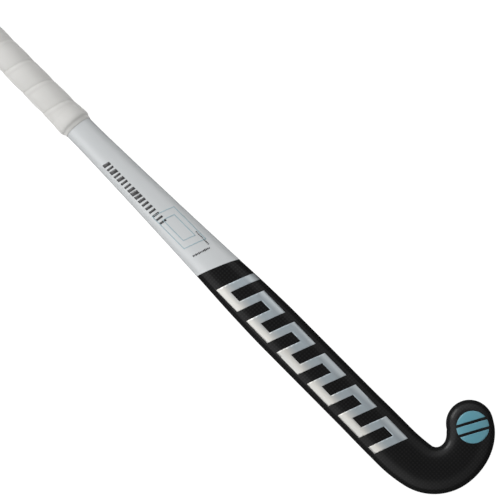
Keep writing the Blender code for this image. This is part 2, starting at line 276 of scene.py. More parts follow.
HANDLE_SLOPE, HEAD_SLOPE = bow_slopes()
BOW_START = LENGTH - BOW_FROM_BASE - BOW_RADIUS * (HANDLE_SLOPE + HEAD_SLOPE) / 2


def bowed(x, y, z):
    """A point of the straight layout, carried onto the bowed middle line."""
    on_arc = min(max(x - BOW_START, 0.0), BOW_RADIUS * (HANDLE_SLOPE + HEAD_SLOPE))
    slope = HANDLE_SLOPE - on_arc / BOW_RADIUS
    before = min(x, BOW_START)
    after = max(x - BOW_START - on_arc, 0.0)
    along = before * math.cos(HANDLE_SLOPE) + after * math.cos(slope)
    along += BOW_RADIUS * (math.sin(HANDLE_SLOPE) - math.sin(slope))
    rise = before * math.sin(HANDLE_SLOPE) + after * math.sin(slope)
    rise += BOW_RADIUS * (math.cos(slope) - math.cos(HANDLE_SLOPE))
    return Vector((along - z * math.sin(slope), y, rise + z * math.cos(slope)))


LAID = Matrix.Translation(LAID_AT) @ Matrix.Rotation(LAID_TILT, 4, "Y")


def ring_at(at, points, turn=0.0):
    """Section points set across the middle line; `turn` swings them about the upright axis."""
    x, y, heading = in_plan(at)
    heading += turn
    return [
        LAID @ bowed(x - across * math.sin(heading), y + across * math.cos(heading), up)
        for across, up in points
    ]


def shell_ring(at, depth=0.0):
    return ring_at(at, outline(inset(section_at(at), depth)))


def shifted_ring(place_of, depth):
    """Ring round the shell whose place along the middle line depends on how far across it is."""
    ring = []
    for index, (across, _) in enumerate(outline(section_at(place_of(0.0)))):
        at = place_of(across)
        ring += ring_at(at, [outline(inset(section_at(at), depth))[index]])
    return ring


def steps_between(start, end, step):
    count = max(1, math.ceil((end - start) / step - ROUNDING))
    return [start + (end - start) * i / count for i in range(count + 1)]


def shell_places(steps):
    """Places for rings from the butt to the end of the middle line, closer in the hook."""
    shaft_step, hook_step = steps
    hook = steps_between(STRAIGHT, SPINE_LENGTH, hook_step)
    return steps_between(SHELL_START, STRAIGHT, shaft_step) + hook[1:]


# ---- meshes


def join_rings(mesh, rings, loop=False):
    """Faces between neighbouring rings of vertices; `loop` joins the last ring to the first."""
    pairs = list(zip(rings, rings[1:])) + ([(rings[-1], rings[0])] if loop else [])
    for near, far in pairs:
        count = len(near)
        for i in range(count):
            after = (i + 1) % count
            mesh.faces.new((near[i], near[after], far[after], far[i]))


def close_tip(mesh, ring, points, at):
    """Round end: one side of the section swung half a turn about the middle line's end.

    It returns each new row of points with its swing.
    """
    top = len(points) // 2
    side = points[1:top]
    swings = [-math.pi * step / TIP_STEPS for step in range(1, TIP_STEPS)]
    swung = [[mesh.verts.new(point) for point in ring_at(at, side, turn)] for turn in swings]
    meridians = [ring[1:top], *swung, ring[:top:-1]]
    for near, far in zip(meridians, meridians[1:]):
        mesh.faces.new((ring[0], near[0], far[0]))
        mesh.faces.new((ring[top], near[-1], far[-1]))
        for i in range(len(near) - 1):
            mesh.faces.new((near[i], near[i + 1], far[i + 1], far[i]))
    return list(zip(swung, swings))


def sock(mesh, places, depth_at):
    """A surface along the given places, closed round the toe, `depth_at` below the outer one.

    It returns its rings of vertices, and the rows round the toe with their swings.
    """
    rings = []
    for at in places:
        rings.append([mesh.verts.new(point) for point in shell_ring(at, depth_at(at))])
    join_rings(mesh, rings)
    end = places[-1]
    tip = close_tip(mesh, rings[-1], outline(inset(section_at(end), depth_at(end))), end)
    return rings, tip


def outside(at):
    """Depth of the moulding's own surface."""
    return 0.0


def skin(rings, loop=False):
    """A body through rings of points: a closed sleeve with `loop`, or else with flat ends."""
    mesh = bmesh.new()
    made = [[mesh.verts.new(point) for point in ring] for ring in rings]
    join_rings(mesh, made, loop)
    if not loop:
        mesh.faces.new(made[0])
        mesh.faces.new(made[-1])
    return mesh


def object_of(name, mesh):
    """Makes a plain object of a bmesh, in the scene."""
    data = bpy.data.meshes.new(name)
    mesh.to_mesh(data)
    mesh.free()
    made = bpy.data.objects.new(name, data)
    bpy.context.scene.collection.objects.link(made)
    return made


def piece(name, mesh, finish, angle=40):
    """Makes a piece of a bmesh: faces outwards, shaded smooth up to `angle` degrees."""
    bmesh.ops.recalc_face_normals(mesh, faces=mesh.faces)
    made = object_of(name, mesh)
    made.data.materials.append(finish)
    made.data.shade_smooth()
    made.data.set_sharp_from_angle(angle=math.radians(angle))
    return made


def sliced(mesh, spot, normal, clear=False):
    """Cuts a mesh by a plane; `clear` takes away what lies beyond it."""
    everything = list(mesh.verts) + list(mesh.edges) + list(mesh.faces)
    bmesh.ops.bisect_plane(mesh, geom=everything, plane_co=spot, plane_no=normal, clear_outer=clear)


def settled(made, name):
    """Turns an object into a plain mesh of its evaluated shape, with its modifiers gone."""
    graph = bpy.context.evaluated_depsgraph_get()
    data = bpy.data.meshes.new_from_object(made.evaluated_get(graph))
    data.name = name
    made.modifiers.clear()
    made.data = data
    made.name = name


def fits(made, slot, *nodes):
    """Mounts a finished piece: it rides on the stick and may stand for CAD nodes; `slot` is not used.
    """
    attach(made, "root")
    if nodes:
        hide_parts(*nodes)


# ---- node trees


def feed(tree, node, inputs):
    """Links or fills a node's inputs, given as {socket: value}."""
    for key, value in inputs.items():
        if isinstance(value, bpy.types.NodeSocket):
            tree.links.new(value, node.inputs[key])
        else:
            node.inputs[key].default_value = value


def wire(tree, kind, inputs=None, **settings):
    """Adds a node, sets it up, and links or fills its inputs."""
    node = tree.nodes.new(kind)
    for name, value in settings.items():
        setattr(node, name, value)
    feed(tree, node, inputs or {})
    return node


def maths(tree, operation, *values):
    inputs = dict(enumerate(values))
    return wire(tree, "ShaderNodeMath", inputs, operation=operation).outputs[0]


def vector_maths(tree, operation, *values):
    inputs = dict(enumerate(values))
    if operation == "SCALE":
        inputs = {0: values[0], 3: values[1]}
    node = wire(tree, "ShaderNodeVectorMath", inputs, operation=operation)
    return node.outputs["Value" if operation == "DOT_PRODUCT" else "Vector"]


def axis_of(tree, vector, axis):
    return wire(tree, "ShaderNodeSeparateXYZ", {"Vector": vector}).outputs[axis]


def source(tree, kind, output=0):
    """An output of a node that needs no inputs."""
    return tree.nodes.new(kind).outputs[output]


def combined(tree, x, y=0.0, z=0.0):
    return wire(tree, "ShaderNodeCombineXYZ", {"X": x, "Y": y, "Z": z}).outputs[0]


def noise(tree, vector, scale, detail):
    inputs = {"Vector": vector, "Scale": scale, "Detail": detail}
    return wire(tree, "ShaderNodeTexNoise", inputs).outputs["Fac"]


def blended(tree, share, first, second):
    """A colour between two, each given as a linear colour or as a socket."""
    colours = [
        colour if isinstance(colour, bpy.types.NodeSocket) else (*colour, 1.0)
        for colour in (first, second)
    ]
    inputs = {0: share, 6: colours[0], 7: colours[1]}
    return wire(tree, "ShaderNodeMix", inputs, data_type="RGBA").outputs[2]


def ramped(tree, share, stops, interpolation="LINEAR"):
    """A colour from a ramp of (position, colour) stops."""
    node = wire(tree, "ShaderNodeValToRGB", {"Fac": share})
    node.color_ramp.interpolation = interpolation
    elements = node.color_ramp.elements
    while len(elements) < len(stops):
        elements.new(0.5)
    for element, (position, colour) in zip(elements, stops):
        element.position = position
        element.color = (*colour, 1.0)
    return node.outputs["Color"]


def new_group(name, kind, inputs, outputs):
    """An empty node group with named sockets, its input node and its output node."""
    tree = bpy.data.node_groups.new(name, kind)
    for label, socket, value in inputs:
        made = tree.interface.new_socket(label, in_out="INPUT", socket_type=socket)
        if value is not None:
            made.default_value = value
    for label, socket in outputs:
        tree.interface.new_socket(label, in_out="OUTPUT", socket_type=socket)
    return tree, tree.nodes.new("NodeGroupInput"), tree.nodes.new("NodeGroupOutput")


# ---- shader groups


def weave_group():
    """Plain weave of flat tows: relief, which tow lies on top, and the fibres along it."""
    tree, given, out = new_group(
        "tow_weave",
        "ShaderNodeTree",
        (("Vector", "NodeSocketVector", None), ("Tow Width", "NodeSocketFloat", 0.002)),
        (("Relief", "NodeSocketFloat"), ("Over", "NodeSocketFloat"), ("Fibres", "NodeSocketFloat")),
    )
    turn = {"Vector": given.outputs["Vector"], "Axis": (0, 0, 1), "Angle": math.radians(45)}
    turned = wire(tree, "ShaderNodeVectorRotate", turn)
    per_tow = maths(tree, "DIVIDE", 1.0, given.outputs["Tow Width"])
    cells = vector_maths(tree, "SCALE", turned.outputs["Vector"], per_tow)
    a, b = axis_of(tree, cells, "X"), axis_of(tree, cells, "Y")
    humps = []
    for along in (a, b):
        wave = maths(tree, "SINE", maths(tree, "MULTIPLY", maths(tree, "FRACT", along), math.pi))
        humps.append(maths(tree, "POWER", maths(tree, "ABSOLUTE", wave), 0.45))
    cell_number = maths(tree, "ADD", maths(tree, "FLOOR", a), maths(tree, "FLOOR", b))
    over = maths(tree, "PINGPONG", cell_number, 1.0)
    strands = []
    for long_way, short_way in ((a, b), (b, a)):
        slim = maths(tree, "MULTIPLY", short_way, 9.0)
        run = maths(tree, "MULTIPLY", long_way, 0.4)
        strands.append(noise(tree, combined(tree, slim, run), 1.0, 2.0))
    either = {"Factor": over, "A": strands[0], "B": strands[1]}
    fibres = wire(tree, "ShaderNodeMix", either, data_type="FLOAT").outputs[0]
    relief = maths(tree, "MULTIPLY", humps[0], humps[1])
    feed(tree, out, {"Relief": relief, "Over": over, "Fibres": fibres})
    return tree


def grain_group():
    """Fine irregular surface: a relief and a soft mottle of the same place."""
    tree, given, out = new_group(
        "soft_grain",
        "ShaderNodeTree",
        (
            ("Vector", "NodeSocketVector", None),
            ("Grain", "NodeSocketFloat", 900.0),
            ("Mottle", "NodeSocketFloat", 40.0),
        ),
        (("Relief", "NodeSocketFloat"), ("Shade", "NodeSocketFloat")),
    )
    where, grain = given.outputs["Vector"], given.outputs["Grain"]
    spots = {"Vector": where, "Scale": grain}
    cells = wire(tree, "ShaderNodeTexVoronoi", spots, feature="SMOOTH_F1").outputs["Distance"]
    relief = maths(tree, "ADD", cells, noise(tree, where, grain, 3.0))
    shade = noise(tree, where, given.outputs["Mottle"], 4.0)
    feed(tree, out, {"Relief": maths(tree, "MULTIPLY", relief, 0.5), "Shade": shade})
    return tree


WEAVE = weave_group()
GRAIN = grain_group()


def finish(name, **sockets):
    """A material with its Principled BSDF, whose sockets are set by name, spaces as underscores."""
    made = bpy.data.materials.new(name)
    made.use_nodes = True
    tree = made.node_tree
    shader = tree.nodes["Principled BSDF"]
    for key, value in sockets.items():
        label = key.replace("_", " ").title().replace("Ior", "IOR")
        shader.inputs[label].default_value = value
    return made, tree, shader


def place_on(tree, scale=(1, 1, 1)):
    """Object coordinates, stretched by a Mapping."""
    where = source(tree, "ShaderNodeTexCoord", "Object")
    return wire(tree, "ShaderNodeMapping", {"Vector": where, "Scale": scale}).outputs[0]


def bumped(tree, shader, height, distance, strength=1.0):
    inputs = {"Height": height, "Distance": distance, "Strength": strength}
    bump = wire(tree, "ShaderNodeBump", inputs)
    tree.links.new(bump.outputs["Normal"], shader.inputs["Normal"])


def grained(tree, grain, mottle, scale=(1, 1, 1)):
    """The grain group placed on the object: (relief, shade)."""
    inputs = {"Vector": place_on(tree, scale), "Grain": grain, "Mottle": mottle}
    group = wire(tree, "ShaderNodeGroup", inputs, node_tree=GRAIN)
    return group.outputs["Relief"], group.outputs["Shade"]


def mottled(name, tones, roughness, grain, mottle, relief, scale=(1, 1, 1), **sockets):
    """A material whose colour drifts between two tones over a fine relief."""
    made, tree, shader = finish(name, roughness=roughness, **sockets)
    height, shade = grained(tree, grain, mottle, scale)
    tree.links.new(blended(tree, shade, *tones), shader.inputs["Base Color"])
    bumped(tree, shader, height, relief)
    return made


TOW_WIDTH = 0.0021
# Painted reflection: colours across the foil's width from the heel side to the toe side, the lighter
# bands being painted highlights.
FOIL_REFLECTION_BANDS = (
    (0.00, (0.66, 0.65, 0.62)),
    (0.20, (0.80, 0.77, 0.71)),
    (0.31, (0.58, 0.60, 0.60)),
    (0.42, (0.46, 0.53, 0.57)),
    (0.60, (0.45, 0.53, 0.58)),
    (0.70, (0.38, 0.44, 0.48)),
    (0.80, (0.60, 0.66, 0.69)),
    (1.00, (0.42, 0.44, 0.47)),
)
PALE_TAPE = ((0.715, 0.708, 0.685), (0.760, 0.752, 0.730))
# Painted shade with a little grime: the colour that darkens the tape along each lapped seam.
SEAM_SHADE_AND_GRIME = (0.46, 0.44, 0.41)


def carbon_finish():
    """Woven carbon under clear lacquer, with painted sheen on the tows that lie on top and painted
    shade in the weave's hollows.
    """
    lacquer = {"coat_weight": 0.25, "coat_roughness": 0.16, "coat_ior": 1.40}
    made, tree, shader = finish(
        "carbon_under_lacquer", metallic=0.16, specular_ior_level=0.06, **lacquer
    )
    lay = wire(tree, "ShaderNodeUVMap", uv_map="lay").outputs[0]
    inputs = {"Vector": lay, "Tow Width": TOW_WIDTH}
    weave = wire(tree, "ShaderNodeGroup", inputs, node_tree=WEAVE).outputs
    over, relief = weave["Over"], weave["Relief"]
    # Painted sheen: the tows that lie on top are coloured lighter, standing in for their reflection.
    tow_sheen = blended(tree, over, (0.0160, 0.0160, 0.0165), (0.0240, 0.0240, 0.0245))
    strands = blended(tree, weave["Fibres"], (0.0125, 0.0125, 0.013), tow_sheen)
    # Painted shade: the colour darkens where the weave's relief is low, in the hollows between tows.
    sunken = blended(tree, relief, (0.0105, 0.0105, 0.0105), strands)
    roughness = maths(tree, "MULTIPLY_ADD", over, 0.06, 0.27)
    feed(tree, shader, {"Base Color": sunken, "Roughness": roughness})
    bumped(tree, shader, relief, 0.00004, 0.5)
    return made


def foil_finish():
    """Brushed silver foil under lacquer, its colour a painted reflection across its width: warm at
    the heel side and steely at the toe side, with painted highlight bands.
    """
    made, tree, shader = finish("brushed_foil", metallic=0.35, coat_weight=0.6, coat_roughness=0.12)
    where = source(tree, "ShaderNodeTexCoord", "Object")
    bend = maths(tree, "MULTIPLY_ADD", noise(tree, where, 22.0, 1.0), 0.012, -0.006)
    across = maths(tree, "SUBTRACT", axis_of(tree, where, "Y"), AXIS_Y)
    inputs = {"Value": maths(tree, "ADD", across, bend), "From Min": -0.020, "From Max": 0.022}
    share = wire(tree, "ShaderNodeMapRange", inputs).outputs[0]
    brushed = noise(tree, place_on(tree, (30, 2600, 30)), 1.0, 2.0)
    streak = maths(tree, "MULTIPLY_ADD", brushed, 0.7, -0.15)
    # The ramp paints the foil's reflection across its width.
    lighter = blended(tree, streak, ramped(tree, share, FOIL_REFLECTION_BANDS), (0.60, 0.64, 0.66))
    roughness = maths(tree, "MULTIPLY_ADD", brushed, 0.25, 0.28)
    feed(tree, shader, {"Base Color": lighter, "Roughness": roughness})
    bumped(tree, shader, brushed, 0.00001, 0.5)
    return made


def wound_finish():
    """Soft polyurethane tape: fine grain, and painted shade with a little grime darkening each lapped
    edge.
    """
    made, tree, shader = finish("wound_polyurethane", roughness=0.70)
    height, shade = grained(tree, 1500, 70)
    across = wire(tree, "ShaderNodeAttribute", attribute_name="across_tape").outputs["Fac"]
    to_edges = []
    for distance in (across, maths(tree, "SUBTRACT", WRAP_PITCH, across)):
        to_edges.append(maths(tree, "ABSOLUTE", distance))
    spread = maths(tree, "MULTIPLY_ADD", noise(tree, place_on(tree), 160.0, 2.0), 0.0030, 0.0004)
    nearest = maths(tree, "DIVIDE", maths(tree, "MINIMUM", *to_edges), spread)
    seam = maths(tree, "SUBTRACT", 1.0, maths(tree, "MINIMUM", nearest, 1.0))
    # Painted shade along each lapped seam, partly grime: the colour darkens towards the tape's edges.
    seam_shade = maths(tree, "MULTIPLY", seam, 0.20)
    colour = blended(tree, seam_shade, blended(tree, shade, *PALE_TAPE), SEAM_SHADE_AND_GRIME)
    tree.links.new(colour, shader.inputs["Base Color"])
    dented = maths(tree, "SUBTRACT", height, maths(tree, "MULTIPLY", seam, 5.0))
    bumped(tree, shader, dented, 0.00003)
    return made


# The two tones of each finish.
WHITE = ((0.675, 0.700, 0.712), (0.710, 0.732, 0.742))
TEAL = ((0.115, 0.345, 0.430), (0.135, 0.380, 0.470))
PALE_BLUE = ((0.38, 0.52, 0.57), (0.42, 0.56, 0.61))
DARK = ((0.022, 0.022, 0.025), (0.035, 0.035, 0.038))
RUBBER = ((0.36, 0.355, 0.345), (0.41, 0.405, 0.395))
ALUMINIUM = ((0.50, 0.51, 0.52), (0.62, 0.63, 0.64))
ARAMID = ((0.42, 0.30, 0.07), (0.55, 0.42, 0.12))
FOAM = ((0.62, 0.56, 0.40), (0.75, 0.70, 0.55))
GLASS = ((0.40, 0.45, 0.38), (0.50, 0.55, 0.48))
PLUG = ((0.03, 0.03, 0.032), (0.05, 0.05, 0.052))
RESIN = ((0.70, 0.64, 0.46), (0.8, 0.74, 0.55))
FELT = ((0.50, 0.50, 0.48), (0.62, 0.62, 0.60))

# Name of the material, its tones, roughness, scales of grain and mottle, height of the relief.
MOTTLED = {
    "white": ("white_coat", WHITE, 0.45, 2500, 18, 0.000006),
    "teal": ("teal_ink", TEAL, 0.45, 1800, 60, 0.000006),
    "pale_blue": ("pale_blue_ink", PALE_BLUE, 0.45, 1800, 60, 0.000004),
    "dark": ("dark_ink", DARK, 0.45, 1800, 60, 0.000004),
    "tape": ("end_tape", PALE_TAPE, 0.66, 1100, 90, 0.00002),
    "cap": ("butt_rubber", RUBBER, 0.62, 1300, 60, 0.00002),
    "badge": ("blank_aluminium", ALUMINIUM, 0.38, 500, 40, 0.000005),
    "aramid": ("aramid_cloth", ARAMID, 0.6, 500, 200, 0.00008),
    "foam": ("foam_cells", FOAM, 0.9, 1400, 120, 0.0002),
    "glass": ("glass_fibre_wall", GLASS, 0.4, 700, 90, 0.00005),
    "plug": ("moulded_plug", PLUG, 0.5, 900, 50, 0.00003),
    "adhesive": ("adhesive_layer", RESIN, 0.35, 400, 60, 0.00002),
    "felt": ("felt_backing", FELT, 0.95, 2200, 150, 0.00012),
}
LACQUERED = {"coat_weight": 0.7, "coat_roughness": 0.20}
EXTRAS = {
    "white": LACQUERED,
    "teal": LACQUERED,
    "pale_blue": LACQUERED,
    "dark": LACQUERED,
    "badge": {"metallic": 0.55, "scale": (1, 9, 1)},
    "glass": {"scale": (0.3, 3, 1)},
}


def make_finishes():
    made = {"carbon": carbon_finish(), "foil": foil_finish(), "grip": wound_finish()}
    for key, values in MOTTLED.items():
        made[key] = mottled(*values, **EXTRAS.get(key, {}))
    return made


# ---- the shell and its lacquer


def ring_lengths(points):
    """Distance round the section from the crown to each point: toe side plus, heel side minus."""
    top = len(points) // 2
    lengths = [0.0] * len(points)
    for direction in (-1, 1):
        total = 0.0
        for count in range(1, top + 1):
            here = (top + direction * count) % len(points)
            before = (top + direction * (count - 1)) % len(points)
            total += math.dist(points[here], points[before])
            lengths[here] = -direction * total
    return lengths


def cloth_place(at, turn, length):
    """Where a point lies on the flat cloth: the section unrolled beside its line."""
    x, y, heading = in_plan(at)
    heading += turn
    return x - length * math.sin(heading), y + length * math.cos(heading)


def lay_cloth(mesh, places, seam):
    """UV map of the flat cloth in metres, with its only seam down the middle of the face."""
    layer = mesh.loops.layers.uv.new("lay")
    for face in mesh.faces:
        beside = next((vert for vert in face.verts if vert in places and vert not in seam), None)
        for loop in face.loops:
            if beside is None or loop.vert not in places:
                loop[layer].uv = loop.vert.co.xy
                continue
            at, turn, length = places[loop.vert]
            if loop.vert in seam:
                _, turn, side = places[beside]
                length = math.copysign(length, side)
            loop[layer].uv = cloth_place(at, turn, length)


def carbon_shell(carbon):
    """Hollow moulding from the butt to the toe."""
    mesh = bmesh.new()
    along = shell_places(SHELL_STEPS)
    rings, tip = sock(mesh, along, outside)
    places = {}
    for at, ring in zip(along, rings):
        for vert, length in zip(ring, ring_lengths(outline(section_at(at)))):
            places[vert] = (at, 0.0, length)
    points = outline(section_at(SPINE_LENGTH))
    lengths = ring_lengths(points)[1 : len(points) // 2]
    for row, turn in tip:
        for vert, length in zip(row, lengths):
            places[vert] = (SPINE_LENGTH, turn, length)
    inner, _ = sock(mesh, shell_places(INSIDE_STEPS), wall_at)
    join_rings(mesh, [rings[0], inner[0]])
    lay_cloth(mesh, places, {ring[0] for ring in rings})
    return piece("carbon_shell_moulding", mesh, carbon)


def lacquer_place(across, share):
    """Place a share of the way from the lacquer's start under the grip to its slanted end."""
    start = GRIP_END - TAPE_ON_GRIP / 2
    end = LENGTH - LACQUER_END + across * math.tan(LACQUER_SLANT)
    return start + (end - start) * share


def white_lacquer(white):
    """Coat of white lacquer from under the grip to its slanted masked end."""
    shares = [i / COAT_RINGS for i in range(COAT_RINGS + 1)]
    rings = []
    for depth, order in ((-LACQUER, shares), (GAP, shares[::-1])):
        for share in order:
            rings.append(shifted_ring(lambda across: lacquer_place(across, share), depth))
    return piece("white_lacquer_coat", skin(rings, loop=True), white, 60)


# ---- prints under the clear coat


def shell_target():
    """The shell's outer surface alone, for prints to lie on; it is removed again."""
    mesh = bmesh.new()
    sock(mesh, shell_places(BED_STEPS), outside)
    return piece("print_bed", mesh, bpy.data.materials.new("print_bed"))


def hit_on(tree, target, origin, direction, reach):
    """Where rays meet an object: the outputs of a Raycast."""
    seen = wire(tree, "GeometryNodeObjectInfo", {"Object": target}, transform_space="RELATIVE")
    inputs = {
        "Target Geometry": seen.outputs["Geometry"],
        "Source Position": origin,
        "Ray Direction": direction,
        "Ray Length": reach,
    }
    return wire(tree, "GeometryNodeRaycast", inputs).outputs


def end_tree(tree, shape, colour, out):
    """Ends a geometry tree: everything realized and of one material."""
    real = wire(tree, "GeometryNodeRealizeInstances", {"Geometry": shape})
    inputs = {"Geometry": real.outputs[0], "Material": colour}
    coloured = wire(tree, "GeometryNodeSetMaterial", inputs)
    tree.links.new(coloured.outputs[0], out.inputs["Shape"])


def end_on_bed(tree, flat, sockets, out):
    """Ends a tree by dropping a flat mesh straight onto the bed, a little proud of it."""
    position = source(tree, "GeometryNodeInputPosition")
    hit = hit_on(tree, sockets["Bed"], position, (0.0, 0.0, -1.0), 5 * DROP_HEIGHT)
    proud = vector_maths(tree, "SCALE", hit["Hit Normal"], sockets["Lift"])
    target = vector_maths(tree, "ADD", hit["Hit Position"], proud)
    laid = wire(tree, "GeometryNodeSetPosition", {"Geometry": flat, "Position": target})
    smooth = wire(tree, "GeometryNodeSetShadeSmooth", {"Geometry": laid.outputs[0]})
    end_tree(tree, smooth.outputs[0], sockets["Colour"], out)


BED_INPUTS = (
    ("Bed", "NodeSocketObject", None),
    ("Lift", "NodeSocketFloat", PRINT_LIFT),
    ("Colour", "NodeSocketMaterial", None),
)
DROP_HEIGHT = 0.2
SHAPE_IN = (("Shape", "NodeSocketGeometry", None),)
SHAPE_OUT = (("Shape", "NodeSocketGeometry"),)


def laid_print_tree():
    """Lays any flat print on the shell."""
    inputs = SHAPE_IN + BED_INPUTS
    tree, given, out = new_group("laid_print", "GeometryNodeTree", inputs, SHAPE_OUT)
    end_on_bed(tree, given.outputs["Shape"], given.outputs, out)
    return tree


MARK_NET = (4, 8)
SHORTEST_MARK = 0.45


def mark_row_tree():
    """A row of slanted marks of uneven length, laid on the shell."""
    inputs = SHAPE_IN + BED_INPUTS + (
        ("Count", "NodeSocketInt", 10),
        ("First Place", "NodeSocketVector", None),
        ("Step", "NodeSocketVector", None),
        ("Mark Length", "NodeSocketFloat", 0.003),
        ("Mark Height", "NodeSocketFloat", 0.005),
        ("Slant", "NodeSocketFloat", 0.3),
        ("Seed", "NodeSocketInt", 4),
    )
    tree, given, out = new_group("mark_row", "GeometryNodeTree", inputs, SHAPE_OUT)
    sockets = given.outputs
    inputs = {
        "Count": sockets["Count"],
        "Start Location": sockets["First Place"],
        "Offset": sockets["Step"],
    }
    line = wire(tree, "GeometryNodeMeshLine", inputs)
    inputs = {
        "Size X": sockets["Mark Length"],
        "Size Y": sockets["Mark Height"],
        "Vertices X": MARK_NET[0],
        "Vertices Y": MARK_NET[1],
    }
    mark = wire(tree, "GeometryNodeMeshGrid", inputs)
    here = source(tree, "GeometryNodeInputPosition")
    slanted = maths(tree, "MULTIPLY", axis_of(tree, here, "Y"), sockets["Slant"])
    inputs = {"Geometry": mark.outputs["Mesh"], "Offset": combined(tree, slanted)}
    leaning = wire(tree, "GeometryNodeSetPosition", inputs)
    inputs = {2: SHORTEST_MARK, 3: 1.0, "Seed": sockets["Seed"]}
    length = wire(tree, "FunctionNodeRandomValue", inputs, data_type="FLOAT").outputs[1]
    inputs = {
        "Points": line.outputs["Mesh"],
        "Instance": leaning.outputs[0],
        "Scale": combined(tree, length, 1.0, 1.0),
    }
    row = wire(tree, "GeometryNodeInstanceOnPoints", inputs)
    real = wire(tree, "GeometryNodeRealizeInstances", {"Geometry": row.outputs[0]})
    end_on_bed(tree, real.outputs[0], sockets, out)
    return tree


def grown(name, mesh, tree, values, thickness=None):
    """Runs a geometry tree on a mesh, with inputs set by name, and keeps the plain result."""
    made = object_of(name, mesh)
    modifier = made.modifiers.new("shape", "NODES")
    modifier.node_group = tree
    for item in tree.interface.items_tree:
        if item.in_out == "INPUT" and item.name in values:
            modifier[item.identifier] = values[item.name]
    if thickness:
        solid = made.modifiers.new("thickness", "SOLIDIFY")
        solid.thickness = thickness
        solid.offset = -1.0
    settled(made, name)
    colour = next(finish for finish in made.data.materials if finish)
    made.data.materials.clear()
    made.data.materials.append(colour)
    for polygon in made.data.polygons:
        polygon.material_index = 0
    return made


def place(from_base, across):
    """A point above the stick, given from its base and from its middle line."""
    return Vector((BASE_X - from_base, AXIS_Y + across, DROP_HEIGHT))


def cut_up(mesh, step):
    """Cuts a flat mesh by a square net of lines, so that it can bend."""
    low = [min(vertex.co[axis] for vertex in mesh.verts) for axis in range(2)]
    high = [max(vertex.co[axis] for vertex in mesh.verts) for axis in range(2)]
    for axis, normal in enumerate((Vector((1.0, 0.0, 0.0)), Vector((0.0, 1.0, 0.0)))):
        for at in steps_between(low[axis], high[axis], step)[1:-1]:
            sliced(mesh, normal * at, normal)


def facing_up(mesh):
    for face in mesh.faces:
        face.normal_update()
        if face.normal.z < 0:
            face.normal_flip()


FOIL_FIRST = 0.2995
FOIL_LAST = 0.0770
FOIL_TURNS = 10
FOIL_STROKE = 0.0087
FOIL_STEM = 0.0215
FOIL_HEEL = (-0.0162, -0.0188)
FOIL_TOE = (0.0170, 0.0148)
FOIL_SLANT = math.tan(math.radians(20.0))


def foil_path():
    """Corners of the foil's middle line: a square wave of crossings and rails."""
    first, last = FOIL_FIRST - FOIL_STROKE / 2, FOIL_LAST + FOIL_STROKE / 2
    pitch = (first - last) / FOIL_TURNS
    corners = []
    for crossing in range(FOIL_TURNS + 1):
        from_base = first - crossing * pitch
        share = crossing / FOIL_TURNS
        toe = FOIL_TOE[0] + (FOIL_TOE[1] - FOIL_TOE[0]) * share - FOIL_STROKE / 2
        heel = FOIL_HEEL[0] + (FOIL_HEEL[1] - FOIL_HEEL[0]) * share + FOIL_STROKE / 2
        ends = (toe, heel) if crossing % 2 == 0 else (heel, toe)
        corners += [(from_base, ends[0]), (from_base, ends[1])]
    corners[0] = (first, FOIL_STEM - FOIL_STROKE / 2)
    return corners


def stroke(corners, width):
    """A flat ribbon of even width along a path with square corners, its ends cut square."""
    half = width / 2
    mesh = bmesh.new()
    rows = []
    for index, corner in enumerate(corners):
        here = Vector(corner)
        before = Vector(corners[index - 1]) if index else None
        after = Vector(corners[index + 1]) if index + 1 < len(corners) else None
        coming = (here - before).normalized() if before else (after - here).normalized()
        going = (after - here).normalized() if after else coming
        left = Vector((-coming.y, coming.x)) + Vector((-going.y, going.x))
        left = left / max(abs(left.x), abs(left.y))
        if before is None:
            here = here - going * half
        if after is None:
            here = here + coming * half
        rows.append((here + left * half, here - left * half))
    made = []
    for row in rows:
        made.append([mesh.verts.new(place(x - y * FOIL_SLANT, y)) for x, y in row])
    for near, far in zip(made, made[1:]):
        mesh.faces.new((near[0], near[1], far[1], far[0]))
    return mesh


ROUNDEL_AT = (0.0352, 0.0672)
ROUNDEL_RADIUS = 0.0158
ROUNDEL_SIDES = 128
ROUNDEL_SLANT = math.radians(-28.0)
ROUNDEL_CUTS = (-0.0062, 0.0034)
ROUNDEL_CUT = 0.0028
ROUNDEL_STEP = 0.0015


def roundel():
    """Disc on the toe, cut by two slanted lines."""
    normal = Vector((math.cos(ROUNDEL_SLANT), math.sin(ROUNDEL_SLANT), 0.0))
    beyond = ROUNDEL_RADIUS + ROUNDEL_CUT
    edges = [-beyond]
    for cut in ROUNDEL_CUTS:
        edges += [cut, cut + ROUNDEL_CUT]
    edges.append(beyond)
    whole = bmesh.new()
    for low, high in zip(edges[::2], edges[1::2]):
        part = bmesh.new()
        bmesh.ops.create_circle(part, cap_ends=True, segments=ROUNDEL_SIDES, radius=ROUNDEL_RADIUS)
        sliced(part, normal * low, -normal, clear=True)
        sliced(part, normal * high, normal, clear=True)
        bmesh.ops.translate(part, verts=part.verts, vec=place(*ROUNDEL_AT))
        cut_up(part, ROUNDEL_STEP)
        data = bpy.data.meshes.new("part")
        part.to_mesh(data)
        part.free()
        whole.from_mesh(data)
        bpy.data.meshes.remove(data)
    return whole


FRAME_AT = (0.3755, 0.001)
FRAME_OUTER = (0.046, 0.0225)
FRAME_INNER = (0.030, 0.0125)
FRAME_LINE = 0.0008
FRAME_ENDS_THICKER = 1.2


def frame_outline(length, height):
    """A thin slanted four-sided outline."""
    from_base, across = FRAME_AT
    mesh = bmesh.new()
    rings = []
    for inwards in (0.0, FRAME_LINE):
        ring = []
        for sx, sy in ((-1, -1), (1, -1), (1, 1), (-1, 1)):
            y = across + sy * (height / 2 - inwards)
            x = from_base + sx * (length / 2 - inwards * FRAME_ENDS_THICKER) - y * FOIL_SLANT
            ring.append(mesh.verts.new(place(x, y)))
        rings.append(ring)
    join_rings(mesh, rings)
    return mesh


